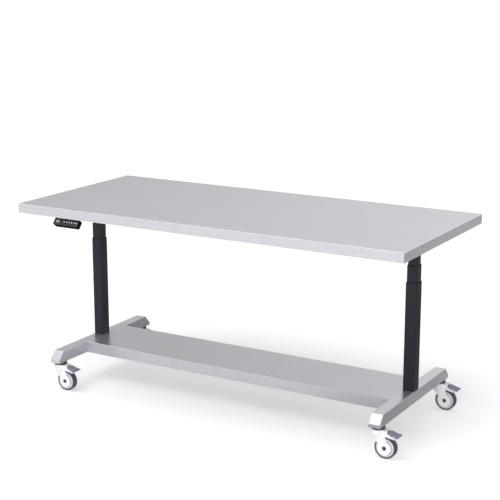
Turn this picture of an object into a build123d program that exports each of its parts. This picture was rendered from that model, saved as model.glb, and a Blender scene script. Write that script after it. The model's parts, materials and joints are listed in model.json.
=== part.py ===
from build123d import *
import os
from math import cos, radians, sin, tan

# Height-adjustable instrument table, in millimetres. X runs along the table, -Y is the
# front, +Z is up, and the origin is on the floor under the middle of the worktop.

# Worktop
top_length = 1829.0
top_depth = 813.0
top_thickness = 41.0
top_height = 857.0
sheet = 1.5
fold_radius = 2.5
top_lip = 20.0
core_gap = 0.3

# Base: two foot arms and the lower shelf
foot_spacing = 1570.0
foot_width = 50.0
foot_height = 50.0
foot_top_length = 644.0
foot_length = 708.0
foot_nose = 14.0
foot_wall = 2.0
shelf_depth = 300.0
shelf_lip = 15.0
stiffener_width = 40.0
stiffener_depth = 25.0
stiffener_spacing = 140.0

# Lifting columns
outer_tube_size = 50.0
tube_wall = 1.5
tube_corner = 3.0
tube_step = 2.5
middle_tube_show = 71.0
inner_tube_show = 108.0
closed_tube_show = 6.0
middle_overlap = 132.0
inner_overlap = 100.0
glide_width = 22.0
glide_height = 40.0
glide_inset = 5.0
glide_run_gap = 0.15
plug_thickness = 8.0
stage_share = 0.5
end_gap = 2.0

# Lifting screws, one set in each column
spindle_radius = 5.0
hollow_screw_radius = 9.0
hollow_screw_bore = 6.5
nut_tube_radius = 13.0
nut_tube_bore = 10.5
nut_length = 25.0
screw_engagement = 40.0
screw_run_gap = 0.05
motor_radius = 17.0
gearbox_radius = 18.0
gearbox_length = 38.0
motor_length = 120.0
motor_flange = 4.0
motor_flange_gap = 0.2
spindle_seat = 10.0
motor_lead_drop = 14.5

# Frame under the worktop
bracket_width = 60.0
bracket_length = 500.0
bracket_depth = 30.0
bracket_sheet = 3.0
bracket_screw_shares = (0.2, 0.44)
rail_width = 40.0
rail_depth = 25.0
rail_sheet = 2.0
rail_screw_spacing = 500.0

# Screws and bolts
screw_radius = 2.5
screw_head_radius = 4.5
screw_head_height = 3.0
screw_bite = 15.0
thread_gap = 0.05
hole_gap = 0.3
bolt_radius = 3.0
bolt_head_radius = 5.0
bolt_head_height = 6.0
bolt_spacing = 28.0
bolt_bite = 7.0
access_hole_radius = 6.5
cut_overrun = 1.0

# Control box and its mains inlet
box_length = 260.0
box_width = 110.0
box_depth = 40.0
box_wall = 2.5
box_corner = 5.0
box_side_gap = 15.0
lug_length = 14.0
lug_width = 18.0
lug_thickness = 3.0
lug_spacing = 74.0
inlet_y = 24.0
inlet_width = 28.0
inlet_height = 22.0
inlet_flange = 2.0
inlet_flange_rim = 3.0
inlet_depth = 24.0
inlet_wall = 2.0
inlet_pocket = 17.0
inlet_pin_length = 13.0
inlet_pin_width = 2.0
inlet_pin_height = 4.0
inlet_pin_pitch = 7.0
inlet_pin_rise = 2.0

# Handset under the front left edge, with a face that leans back
handset_end_distance = 252.5
handset_setback = 0.5
handset_width = 132.0
handset_face = 36.0
handset_row_rise = 16.0
handset_thickness = 26.0
handset_lean = 40.0
handset_taper = 2.0
handset_face_corner = 5.0
handset_back_corner = 4.0
handset_wall = 2.0
handset_top_gap = 2.0
neck_width = 70.0
neck_length = 71.5
neck_depth = 20.0
neck_wall = 3.0
neck_screw_inset = 12.0
neck_hollow = 24.0
window_x = -43.0
window_width = 27.0
window_height = 15.0
window_thickness = 1.2
window_gap = 0.1
button_first_x = -9.5
button_pitch = 13.3
button_count = 6
button_width = 9.4
button_height = 13.0
button_corner = 2.0
button_flush = 0.1
button_gap = 0.25
button_rim = 1.2
button_travel = 0.8
rim_gap = 0.1

# Leads and their clips under the worktop
lead_radius = 2.5
lead_arc_share = 0.45
motor_lead_y = -25.0
motor_lead_bend_start = 560.0
motor_lead_bend_end = 400.0
clip_length = 10.0
clip_wall = 3.5
clip_gap = 0.1
motor_clip_x = (680.0, 300.0)
handset_clip_x = (-480.0, -360.0, -240.0)
handset_lead_y = -180.0
handset_lead_run = 64.0
handset_lead_join_x = -560.0
handset_lead_leave_x = -160.0
handset_lead_box_x = -60.0
handset_lead_entry_y = -160.0

# Casters
caster_height = 130.0
caster_inset = 42.0
caster_offset = 35.0
wheel_radius = 45.0
tread_width = 28.0
tread_corner = 4.0
rim_radius = 39.3
rim_width = 25.0
rim_inner_radius = 32.0
web_thickness = 10.0
hub_radius = 13.0
bond_gap = 0.05
axle_radius = 4.0
axle_run_gap = 0.05
axle_head_radius = 8.5
axle_head_depth = 2.4
axle_head_proud = 0.3
collar_radius = 28.0
collar_height = 12.0
collar_edge = 2.5
collar_gap = 0.4
stem_radius = 6.0
stem_bite = 15.0
stem_wall = 4.0
stem_depth = 22.0
stem_run_gap = 0.08
fork_width = 40.0
fork_slot = 30.6
hub_side_gap = 0.3
fork_disc_radius = 29.0
fork_edge = 1.5
wheel_clearance = 3.5
head_radius = 30.0
head_height = 17.0
head_cone = 22.0
head_neck_radius = 20.0
hood_length = 46.0
hood_step = 11.0
nose_length = 80.0
nose_top_drop = 27.0
nose_depth = 4.0
nose_corner = 1.8
nose_root_x = 36.0
nose_root_drop = 23.5
leg_front_x = 44.0
leg_front_rise = 28.0
leg_back_x = -7.0
leg_back_rise = 30.0
leg_tangent_angle = 150.0
hood_back_x = -22.4
hood_corner = 3.0
hood_roof = 3.0

# Brake pedals
pedal_pivot_x = 40.0
pedal_pivot_drop = 11.5
pedal_pin_radius = 2.5
pedal_pin_length = 34.0
pedal_pin_gap = 0.06
pedal_start_x = 50.0
pedal_end_x = 93.0
pedal_start_drop = 5.5
pedal_end_drop = 19.5
pedal_start_width = 39.0
pedal_flare_x = 76.0
pedal_flare_width = 42.0
pedal_end_width = 52.0
pedal_thickness = 4.0
pedal_lip_length = 5.0
pedal_lip_rise = 2.0
pedal_lever_width = 24.0
pedal_lever_radius = 5.0
pedal_side_gap = 0.5
pedal_pocket_gap = 2.0
pedal_corner = 3.0
shoe_start_x = 48.0
shoe_end_x = 58.0
shoe_rise = 1.0

# Levels and places worked out from the sizes above
top_under = top_height - top_thickness
frame_top = top_under + sheet
foot_bottom = caster_height
foot_top = foot_bottom + foot_height
foot_x = foot_spacing / 2
plug_top = foot_top + plug_thickness
middle_tube_size = outer_tube_size - 2 * tube_step
inner_tube_size = middle_tube_size - 2 * tube_step
glide_thickness = tube_step - tube_wall - glide_run_gap
middle_tube_top = top_under - inner_tube_show
outer_tube_top = middle_tube_top - middle_tube_show
middle_drop = middle_tube_show - closed_tube_show
middle_bottom = plug_top + end_gap + middle_drop
lift_down = middle_drop / stage_share
lift_up = (outer_tube_top - middle_bottom - middle_overlap) / stage_share
spindle_bottom = plug_top + end_gap + lift_down
hollow_screw_top = spindle_bottom + lift_up * (1 - stage_share) + screw_engagement
nut_tube_top = middle_bottom + lift_up * stage_share + screw_engagement
inner_tube_bottom = middle_tube_top - lift_up * (1 - stage_share) - inner_overlap
plate_under = frame_top - bracket_sheet
motor_bottom = plate_under - motor_length
lead_z = frame_top - motor_lead_drop
rail_spacing = box_width + rail_width + 2 * box_side_gap
handset_x = handset_end_distance - top_length / 2
handset_front_y = handset_setback - top_depth / 2
neck_back_y = handset_front_y + neck_length
caster_x = foot_x
caster_y = foot_length / 2 - caster_inset
wheel_z = wheel_radius
fork_top = foot_bottom - collar_height - collar_gap
lean = radians(handset_lean)
button_proud = button_travel + button_flush
sides = {"left": -1, "right": 1}
caster_places = {
    "front_left": (-caster_x, -caster_y),
    "front_right": (caster_x, -caster_y),
    "rear_left": (-caster_x, caster_y),
    "rear_right": (caster_x, caster_y),
}


def block(x_span, y_span, z_span):
    """A box between the low and high ends of three spans."""
    size = [span[1] - span[0] for span in (x_span, y_span, z_span)]
    centre = [(span[1] + span[0]) / 2 for span in (x_span, y_span, z_span)]
    return Pos(*centre) * Box(*size)


def around(centre, width):
    """The span of a width about a centre."""
    return centre - width / 2, centre + width / 2


def rod(x, y, z_span, radius):
    """A round bar along Z."""
    return Pos(x, y, z_span[0]) * extrude(Circle(radius), z_span[1] - z_span[0])


def rod_x(x_span, y, z, radius):
    """A round bar along X."""
    face = Plane((x_span[0], y, z), x_dir=(0, 1, 0), z_dir=(1, 0, 0)) * Circle(radius)
    return extrude(face, x_span[1] - x_span[0])


def rod_y(x, y_span, z, radius):
    """A round bar along Y."""
    face = Plane((x, y_span[0], z), x_dir=(1, 0, 0), z_dir=(0, 1, 0)) * Circle(radius)
    return extrude(face, y_span[1] - y_span[0])


def side_face(points):
    """A face in the XZ plane through the given points."""
    return make_face(Polyline(*[(x, 0, z) for x, z in points], close=True))


def slab_y(face, width):
    """A face in the XZ plane thickened equally both ways along Y."""
    return extrude(face, amount=width / 2, dir=(0, 1, 0), both=True)


def square_tube(size, z_span):
    """A square tube with rounded corners, upright on the Z axis."""
    inside = size - 2 * tube_wall
    ring = RectangleRounded(size, size, tube_corner)
    ring -= RectangleRounded(inside, inside, tube_corner - tube_wall)
    return Pos(0, 0, z_span[0]) * extrude(ring, z_span[1] - z_span[0])


def glide_set(face_distance, z_low):
    """Four pads whose inner faces stand at one distance from the column's axis."""
    pads = []
    for quarter in range(4):
        pad = block(
            (face_distance, face_distance + glide_thickness),
            around(0, glide_width),
            (z_low, z_low + glide_height),
        )
        pads.append(Rot(0, 0, 90 * quarter) * pad)
    return pads


def wood_screw(x, y, plate):
    """A pan-head screw driven up through a plate that lies against the worktop's core."""
    seat = frame_top - plate
    shank = rod(x, y, (seat, frame_top + screw_bite), screw_radius)
    return shank + rod(x, y, (seat - screw_head_height, seat), screw_head_radius)


def lead_path(points):
    """A level path through the points, its bends as wide as the runs beside them allow."""
    places = [Vector(x, y, lead_z) for x, y in points]
    radii = []
    for before, corner, after in zip(places, places[1:], places[2:]):
        run_in = corner - before
        run_out = after - corner
        half_turn = radians(run_in.get_angle(run_out)) / 2
        shorter = min(run_in.length, run_out.length)
        radii.append(lead_arc_share * shorter / tan(half_turn))
    print("lead bend radii", [round(radius) for radius in radii])
    return FilletPolyline(*places, radius=radii)


def lead(points):
    """A round lead along a level path."""
    path = lead_path(points)
    start = Plane(path @ 0, z_dir=path % 0)
    return sweep(start * Circle(lead_radius), path)


def clip(x, y):
    """A saddle that holds a lead, running along X, against the core."""
    low = lead_z - lead_radius - clip_wall
    half = lead_radius + clip_wall
    body = block(around(x, clip_length), around(y, 2 * half), (low, frame_top))
    cut = around(x, clip_length + 2 * cut_overrun)
    return body - rod_x(cut, y, lead_z, lead_radius + clip_gap)


# Places of the fastenings into the core
bracket_screws = [
    (side * foot_x, row * bracket_length * share)
    for side in (-1, 1)
    for row in (-1, 1)
    for share in bracket_screw_shares
]
rail_screws = [
    (column * rail_screw_spacing, row * rail_spacing / 2)
    for column in (-1, 0, 1)
    for row in (-1, 1)
]
lug_screws = [
    (side * (box_length + lug_length) / 2, row * lug_spacing / 2)
    for side in (-1, 1)
    for row in (-1, 1)
]
neck_screw_y = neck_back_y - neck_screw_inset
bolt_places = [
    (column * bolt_spacing / 2, row * bolt_spacing / 2)
    for column in (-1, 1)
    for row in (-1, 1)
]
neck_screws = [(handset_x + row * neck_width / 4, neck_screw_y) for row in (-1, 1)]


# Worktop: a folded stainless pan around a board
def table_top_pan():
    outer = block(around(0, top_length), around(0, top_depth), (top_under, top_height))
    corners = outer.edges().filter_by(Axis.Z) + outer.faces().sort_by(Axis.Z)[-1].edges()
    outer = fillet(corners, fold_radius)
    inner_length = top_length - 2 * sheet
    inner_depth = top_depth - 2 * sheet
    cavity = block(
        around(0, inner_length), around(0, inner_depth), (frame_top, top_height - sheet)
    )
    mouth = block(
        around(0, inner_length - 2 * top_lip),
        around(0, inner_depth - 2 * top_lip),
        (top_under - cut_overrun, frame_top),
    )
    return outer - cavity - mouth


def top_core():
    board = block(
        around(0, top_length - 2 * (sheet + core_gap)),
        around(0, top_depth - 2 * (sheet + core_gap)),
        (frame_top, top_height - sheet),
    )
    for x, y in bracket_screws + rail_screws + lug_screws + neck_screws:
        hole = (frame_top, frame_top + screw_bite + thread_gap)
        board -= rod(x, y, hole, screw_radius + thread_gap)
    return board


# Frame under the worktop
def end_bracket(side):
    x = side * foot_x
    plate = block(around(x, bracket_width), around(0, bracket_length), (plate_under, frame_top))
    channel = block(
        around(x, bracket_width), around(0, bracket_length), (frame_top - bracket_depth, frame_top)
    )
    hollow = block(
        around(x, bracket_width - 2 * bracket_sheet),
        around(0, bracket_length + 2 * cut_overrun),
        (frame_top - bracket_depth - cut_overrun, plate_under),
    )
    bracket = channel - hollow + plate
    for screw_x, screw_y in bracket_screws:
        span = (plate_under - cut_overrun, frame_top + cut_overrun)
        bracket -= rod(screw_x, screw_y, span, screw_radius + hole_gap)
    inboard = sorted((x, x - side * bracket_width))
    return bracket - rod_x(inboard, 0, lead_z, lead_radius + hole_gap)


def support_rail(row):
    y = row * rail_spacing / 2
    span = around(0, foot_spacing - bracket_width)
    rail = block(span, around(y, rail_width), (frame_top - rail_depth, frame_top))
    long_cut = (span[0] - cut_overrun, span[1] + cut_overrun)
    low = frame_top - rail_depth - cut_overrun
    rail -= block(long_cut, around(y, rail_width - 2 * rail_sheet), (low, frame_top - rail_sheet))
    for screw_x, screw_y in rail_screws:
        hole = (frame_top - rail_sheet - cut_overrun, frame_top + cut_overrun)
        rail -= rod(screw_x, screw_y, hole, screw_radius + hole_gap)
    crossing = (handset_lead_entry_y, -box_width / 2)
    return rail - rod_y(handset_lead_box_x, crossing, lead_z, lead_radius + hole_gap)


def top_screws():
    screws = [wood_screw(x, y, bracket_sheet) for x, y in bracket_screws]
    screws += [wood_screw(x, y, rail_sheet) for x, y in rail_screws]
    screws += [wood_screw(x, y, lug_thickness) for x, y in lug_screws]
    screws += [wood_screw(x, y, neck_wall) for x, y in neck_screws]
    return screws


# Base
def foot_arm(side):
    x = side * foot_x
    half_low = foot_length / 2
    half_top = foot_top_length / 2
    nose_top = foot_bottom + foot_nose
    outline = [
        (0, -half_low, foot_bottom),
        (0, half_low, foot_bottom),
        (0, half_low, nose_top),
        (0, half_top, foot_top),
        (0, -half_top, foot_top),
        (0, -half_low, nose_top),
    ]
    face = make_face(Polyline(*outline, close=True))
    arm = extrude(face, amount=foot_width / 2, dir=(1, 0, 0), both=True)
    arm = fillet(arm.edges().filter_by(Axis.Y), fold_radius)
    hollow_face = offset(face, amount=-foot_wall, kind=Kind.INTERSECTION)
    arm -= extrude(hollow_face, amount=foot_width / 2 - foot_wall, dir=(1, 0, 0), both=True)
    floor = foot_bottom + foot_wall
    for end in (-1, 1):
        insert = (floor, floor + stem_bite)
        arm += rod(0, end * caster_y, insert, stem_radius + stem_wall)
        through = (foot_bottom - cut_overrun, floor + stem_bite + cut_overrun)
        arm -= rod(0, end * caster_y, through, stem_radius + thread_gap)
    for bolt_x, bolt_y in bolt_places:
        access = (foot_bottom - cut_overrun, floor + cut_overrun)
        arm -= rod(bolt_x, bolt_y, access, access_hole_radius)
        hole = (foot_top - foot_wall - cut_overrun, foot_top + cut_overrun)
        arm -= rod(bolt_x, bolt_y, hole, bolt_radius + hole_gap)
    return Pos(x, 0, 0) * arm


def lower_shelf():
    span = around(0, foot_spacing - foot_width)
    long_cut = (span[0] - cut_overrun, span[1] + cut_overrun)
    shelf = block(span, around(0, shelf_depth), (foot_bottom, foot_top))
    edges = shelf.edges().filter_by(Axis.X).group_by(Axis.Z)[-1]
    shelf = fillet(edges, fold_radius)
    inner = shelf_depth - 2 * sheet
    shelf -= block(long_cut, around(0, inner), (foot_bottom + sheet, foot_top - sheet))
    mouth = (foot_bottom - cut_overrun, foot_bottom + sheet)
    return shelf - block(long_cut, around(0, inner - 2 * shelf_lip), mouth)


def shelf_stiffeners():
    span = around(0, foot_spacing - foot_width)
    long_cut = (span[0] - cut_overrun, span[1] + cut_overrun)
    top = foot_top - sheet
    low = top - stiffener_depth
    channels = []
    for row in (-1, 1):
        y = row * stiffener_spacing / 2
        channel = block(span, around(y, stiffener_width), (low, top))
        hollow = around(y, stiffener_width - 2 * sheet)
        channels.append(channel - block(long_cut, hollow, (low + sheet, top + cut_overrun)))
    return channels


def base_screws():
    bolts = []
    seat = foot_top - foot_wall
    for side in sides.values():
        for bolt_x, bolt_y in bolt_places:
            x = side * foot_x + bolt_x
            shank = rod(x, bolt_y, (seat, foot_top + bolt_bite), bolt_radius)
            bolts.append(shank + rod(x, bolt_y, (seat - bolt_head_height, seat), bolt_head_radius))
    return bolts


# Lifting columns
def outer_tube(side):
    tube = square_tube(outer_tube_size, (foot_top, outer_tube_top))
    inside = outer_tube_size - 2 * tube_wall
    plug = extrude(RectangleRounded(inside, inside, tube_corner - tube_wall), plug_thickness)
    tube += Pos(0, 0, foot_top) * plug
    for bolt_x, bolt_y in bolt_places:
        span = (foot_top - cut_overrun, plug_top)
        tube -= rod(bolt_x, bolt_y, span, bolt_radius + thread_gap)
    return Pos(side * foot_x, 0, 0) * tube


def outer_glides():
    face = outer_tube_size / 2 - tube_wall - glide_thickness
    low = outer_tube_top - glide_inset - glide_height
    return [Pos(side * foot_x, 0, 0) * pad for side in sides.values() for pad in glide_set(face, low)]


def lift_nut_tubes():
    tubes = []
    top = nut_tube_top
    for side in sides.values():
        x = side * foot_x
        tube = rod(x, 0, (plug_top, top), nut_tube_radius)
        tube -= rod(x, 0, (plug_top, top - nut_length), nut_tube_bore)
        span = (plug_top, top + cut_overrun)
        tubes.append(tube - rod(x, 0, span, hollow_screw_radius + screw_run_gap))
    return tubes


def middle_tube(side):
    tube = square_tube(middle_tube_size, (middle_bottom, middle_tube_top))
    return Pos(side * foot_x, 0, 0) * tube


def middle_glides(side):
    face = middle_tube_size / 2 - tube_wall - glide_thickness
    pads = glide_set(face, middle_tube_top - glide_inset - glide_height)
    pads += glide_set(middle_tube_size / 2, middle_bottom + glide_inset)
    return [Pos(side * foot_x, 0, 0) * pad for pad in pads]


def hollow_screw(side):
    x = side * foot_x
    top = hollow_screw_top
    screw = rod(x, 0, (middle_bottom, top), hollow_screw_radius)
    screw -= rod(x, 0, (middle_bottom - cut_overrun, top - nut_length), hollow_screw_bore)
    return screw - rod(x, 0, (middle_bottom, top + cut_overrun), spindle_radius + screw_run_gap)


def inner_tube(side):
    tube = square_tube(inner_tube_size, (inner_tube_bottom, plate_under))
    inboard = sorted((0, -side * inner_tube_size))
    tube -= rod_x(inboard, 0, lead_z, lead_radius + hole_gap)
    return Pos(side * foot_x, 0, 0) * tube


def gearmotors():
    motors = []
    flange_size = inner_tube_size - 2 * (tube_wall + motor_flange_gap)
    for side in sides.values():
        x = side * foot_x
        motor = rod(x, 0, (motor_bottom, plate_under), motor_radius)
        motor += rod(x, 0, (motor_bottom, motor_bottom + gearbox_length), gearbox_radius)
        flange = extrude(RectangleRounded(flange_size, flange_size, tube_corner), motor_flange)
        motor += Pos(x, 0, plate_under - motor_flange) * flange
        seat = (motor_bottom - cut_overrun, motor_bottom + spindle_seat + end_gap)
        motors.append(motor - rod(x, 0, seat, spindle_radius + screw_run_gap))
    return motors


def drive_spindle(side):
    return rod(side * foot_x, 0, (spindle_bottom, motor_bottom + spindle_seat), spindle_radius)


# Control box
def control_box():
    low = frame_top - box_depth
    body = block(around(0, box_length), around(0, box_width), (low, frame_top))
    rounded = body.edges().filter_by(Axis.Z) + body.faces().sort_by(Axis.Z)[0].edges()
    body = fillet(rounded, box_corner)
    body -= block(
        around(0, box_length - 2 * box_wall),
        around(0, box_width - 2 * box_wall),
        (low + box_wall, frame_top + cut_overrun),
    )
    for x, y in lug_screws:
        lug = around(x, lug_length)
        body += block(lug, around(y, lug_width), (frame_top - lug_thickness, frame_top))
    for x, y in lug_screws:
        span = (low, frame_top + cut_overrun)
        body -= rod(x, y, span, screw_radius + hole_gap)
    ends = around(0, box_length + 2 * cut_overrun)
    body -= rod_x(ends, motor_lead_y, lead_z, lead_radius + clip_gap)
    front = (-box_width / 2 - cut_overrun, -box_width / 2 + box_wall + cut_overrun)
    body -= rod_y(handset_lead_box_x, front, lead_z, lead_radius + clip_gap)
    end = (box_length / 2 - box_wall - cut_overrun, box_length / 2 + cut_overrun)
    centre_z = frame_top - box_depth / 2
    return body - block(end, around(inlet_y, inlet_width), around(centre_z, inlet_height))


def power_inlet():
    face_x = box_length / 2
    centre_z = frame_top - box_depth / 2
    front = face_x + inlet_flange
    width = inlet_width - 2 * motor_flange_gap
    height = inlet_height - 2 * motor_flange_gap
    body = block((front - inlet_depth, front), around(inlet_y, width), around(centre_z, height))
    body += block(
        (face_x, front),
        around(inlet_y, inlet_width + 2 * inlet_flange_rim),
        around(centre_z, inlet_height + 2 * inlet_flange_rim),
    )
    body -= block(
        (front - inlet_pocket, front + cut_overrun),
        around(inlet_y, width - 2 * inlet_wall),
        around(centre_z, height - 2 * inlet_wall),
    )
    pin_x = (front - inlet_pocket, front - inlet_pocket + inlet_pin_length)
    for place in (-1, 0, 1):
        rise = inlet_pin_rise if place == 0 else -inlet_pin_rise
        pin_y = around(inlet_y + place * inlet_pin_pitch, inlet_pin_width)
        body += block(pin_x, pin_y, around(centre_z + rise, inlet_pin_height))
    return body


# Handset
def handset_plane(depth):
    """A plane along the handset's face, at a depth behind it, on the face's lower edge."""
    back = Vector(0, cos(lean), -sin(lean))
    low_z = top_under - handset_top_gap - handset_face * cos(lean)
    place = Vector(handset_x, handset_front_y, low_z) + back * depth
    return Plane(place, x_dir=(1, 0, 0), z_dir=back * -1)


def face_pad(x, size, corner, depth_span):
    """A rounded pad in the row on the handset's face, between two depths."""
    outline = Pos(x, handset_row_rise, 0) * RectangleRounded(*size, corner)
    return extrude(handset_plane(depth_span[1]) * outline, depth_span[1] - depth_span[0])


def handset_shell(inset):
    """The handset's tapered body, or its hollow when it is inset by a wall."""
    back_width = handset_width - 2 * handset_taper
    sections = []
    for width, corner, depth in (
        (handset_width, handset_face_corner, inset),
        (back_width, handset_back_corner, handset_thickness - inset),
    ):
        size = (width - 2 * inset, handset_face - 2 * inset)
        outline = Pos(0, handset_face / 2, 0) * RectangleRounded(*size, corner - inset / 2)
        sections.append(handset_plane(depth) * outline)
    return loft(sections)


def button_x(number):
    return button_first_x + number * button_pitch


def handset_housing():
    housing = handset_shell(0)
    neck_front_y = handset_front_y + handset_face * sin(lean) + handset_wall
    neck_low = frame_top - neck_depth
    neck_span = (neck_front_y, neck_back_y)
    housing += block(around(handset_x, neck_width), neck_span, (neck_low, frame_top))
    housing -= handset_shell(handset_wall)
    hollow_y = (neck_back_y - neck_wall - neck_hollow, neck_back_y - neck_wall)
    hollow_z = (neck_low - cut_overrun, frame_top - neck_wall)
    housing -= block(around(handset_x, neck_width - 2 * neck_wall), hollow_y, hollow_z)
    wall = (neck_back_y - neck_wall - cut_overrun, neck_back_y + cut_overrun)
    housing -= rod_y(handset_x, wall, lead_z, lead_radius + clip_gap)
    for x, y in neck_screws:
        span = (neck_low, frame_top + cut_overrun)
        housing -= rod(x, y, span, screw_radius + hole_gap)
    window = (window_width + 2 * window_gap, window_height + 2 * window_gap)
    depths = (-cut_overrun, window_thickness)
    housing -= face_pad(window_x, window, button_corner, depths)
    hole = (button_width + 2 * button_gap, button_height + 2 * button_gap)
    depths = (-cut_overrun, handset_wall + cut_overrun)
    for number in range(button_count):
        housing -= face_pad(button_x(number), hole, button_corner + button_gap, depths)
    return housing


def handset_window():
    size = (window_width, window_height)
    return face_pad(window_x, size, button_corner, (0, window_thickness))


def handset_button(number):
    x = button_x(number)
    size = (button_width, button_height)
    rim_front = handset_wall + rim_gap
    rim_size = (button_width + 2 * button_rim, button_height + 2 * button_rim)
    cap = face_pad(x, size, button_corner, (-button_proud, rim_front))
    return cap + face_pad(x, rim_size, button_corner, (rim_front, rim_front + button_rim))


def handset_lead():
    return lead(
        [
            (handset_x, neck_back_y - neck_wall),
            (handset_x, neck_back_y + handset_lead_run),
            (handset_lead_join_x, handset_lead_y),
            (handset_lead_leave_x, handset_lead_y),
            (handset_lead_box_x, handset_lead_entry_y),
            (handset_lead_box_x, -box_width / 2 + box_wall),
        ]
    )


def motor_leads():
    return [
        lead(
            [
                (side * (foot_x - motor_radius), 0),
                (side * motor_lead_bend_start, 0),
                (side * motor_lead_bend_end, motor_lead_y),
                (side * (box_length / 2 - box_wall), motor_lead_y),
            ]
        )
        for side in sides.values()
    ]


def cable_clips():
    clips = [clip(x, handset_lead_y) for x in handset_clip_x]
    for x, y in zip(motor_clip_x, (0, motor_lead_y)):
        clips += [clip(side * x, y) for side in sides.values()]
    return clips


# Casters, drawn about the swivel axis with the wheel trailing towards +X
def caster_collar():
    collar = rod(0, 0, (foot_bottom - collar_height, foot_bottom), collar_radius)
    collar = fillet(collar.edges().group_by(Axis.Z)[0], collar_edge)
    span = (foot_bottom - collar_height - cut_overrun, foot_bottom + cut_overrun)
    return collar - rod(0, 0, span, stem_radius + thread_gap)


def caster_stem():
    top = foot_bottom + foot_wall + stem_bite
    return rod(0, 0, (fork_top - stem_depth, top), stem_radius)


def fork_hood():
    """The fork's outline from the side: hood, nose under the pedal, and legs."""
    tangent = radians(leg_tangent_angle)
    outline = [
        (hood_back_x, fork_top),
        (hood_length, fork_top),
        (hood_length, fork_top - hood_step),
        (nose_length, fork_top - nose_top_drop),
        (nose_length, fork_top - nose_top_drop - nose_depth),
        (nose_root_x, fork_top - nose_root_drop),
        (leg_front_x, wheel_z + leg_front_rise),
        (caster_offset, wheel_z),
        (
            caster_offset + fork_disc_radius * cos(tangent),
            wheel_z + fork_disc_radius * sin(tangent),
        ),
        (leg_back_x, wheel_z + leg_back_rise),
        (hood_back_x, fork_top - head_height),
    ]
    face = side_face(outline)
    tips = [point for point in face.vertices() if point.X > nose_length - nose_corner]
    face = fillet(tips, nose_corner)
    tops = [point for point in face.vertices() if abs(point.X - hood_length) < nose_corner]
    return rounded_sides(slab_y(fillet(tops, hood_corner), fork_width))


def rounded_sides(piece):
    """A piece of the fork with the outlines of its two side faces rounded."""
    half = fork_width / 2
    outlines = [edge for edge in piece.edges() if abs(abs(edge.center().Y) - half) < thread_gap]
    return fillet(outlines, fork_edge)


def fork_housing():
    half = fork_width / 2
    fork = fork_hood()
    fork += rounded_sides(rod_y(caster_offset, (-half, half), wheel_z, fork_disc_radius))
    neck_z = fork_top - head_height
    head = rod(0, 0, (neck_z, fork_top), head_radius)
    head = fillet(head.edges().group_by(Axis.Z)[-1], fork_edge)
    cone = Cone(head_neck_radius, head_radius, head_cone)
    fork += head + Pos(0, 0, neck_z - head_cone / 2) * cone
    slot = around(0, fork_slot)
    clearance = wheel_radius + wheel_clearance
    fork -= rod_y(caster_offset, slot, wheel_z, clearance)
    fork -= block(around(caster_offset, 2 * clearance), slot, (0, wheel_z))
    pocket_x = (pedal_pivot_x - pedal_lever_radius - pedal_pocket_gap, nose_length + cut_overrun)
    pocket_y = around(0, pedal_lever_width + 2 * pedal_side_gap)
    fork -= block(pocket_x, pocket_y, (wheel_z + leg_front_rise, fork_top - hood_roof))
    pivot_z = fork_top - pedal_pivot_drop
    pins = around(0, pedal_pin_length + 2 * pedal_side_gap)
    fork -= rod_y(pedal_pivot_x, pins, pivot_z, pedal_pin_radius + pedal_pin_gap)
    through = around(0, fork_width + 2 * cut_overrun)
    fork -= rod_y(caster_offset, through, wheel_z, axle_radius + axle_run_gap)
    for side in sides.values():
        seat = sorted((side * (half - axle_head_depth), side * (half + cut_overrun)))
        fork -= rod_y(caster_offset, seat, wheel_z, axle_head_radius + axle_run_gap)
    bore = (fork_top - stem_depth - end_gap, fork_top + cut_overrun)
    return fork - rod(0, 0, bore, stem_radius + stem_run_gap)


def wheel_axle():
    half = fork_width / 2
    axle = rod_y(caster_offset, (-half, half), wheel_z, axle_radius)
    for side in sides.values():
        head = sorted((side * (half - axle_head_depth), side * (half + axle_head_proud)))
        axle += rod_y(caster_offset, head, wheel_z, axle_head_radius)
    return axle


def wheel_rim():
    rim = rod_y(caster_offset, around(0, rim_width), wheel_z, rim_radius)
    web = (rim_width - web_thickness) / 2
    for side in sides.values():
        hollow = sorted((side * (rim_width / 2 - web), side * (rim_width / 2 + cut_overrun)))
        rim -= rod_y(caster_offset, hollow, wheel_z, rim_inner_radius)
    hub = around(0, fork_slot - 2 * hub_side_gap)
    rim += rod_y(caster_offset, hub, wheel_z, hub_radius)
    return rim - rod_y(caster_offset, hub, wheel_z, axle_radius + axle_run_gap)


def wheel_tread():
    tread = rod_y(caster_offset, around(0, tread_width), wheel_z, wheel_radius)
    tread = fillet(tread.edges().filter_by(GeomType.CIRCLE), tread_corner)
    bore = around(0, tread_width + 2 * cut_overrun)
    return tread - rod_y(caster_offset, bore, wheel_z, rim_radius + bond_gap)


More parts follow.
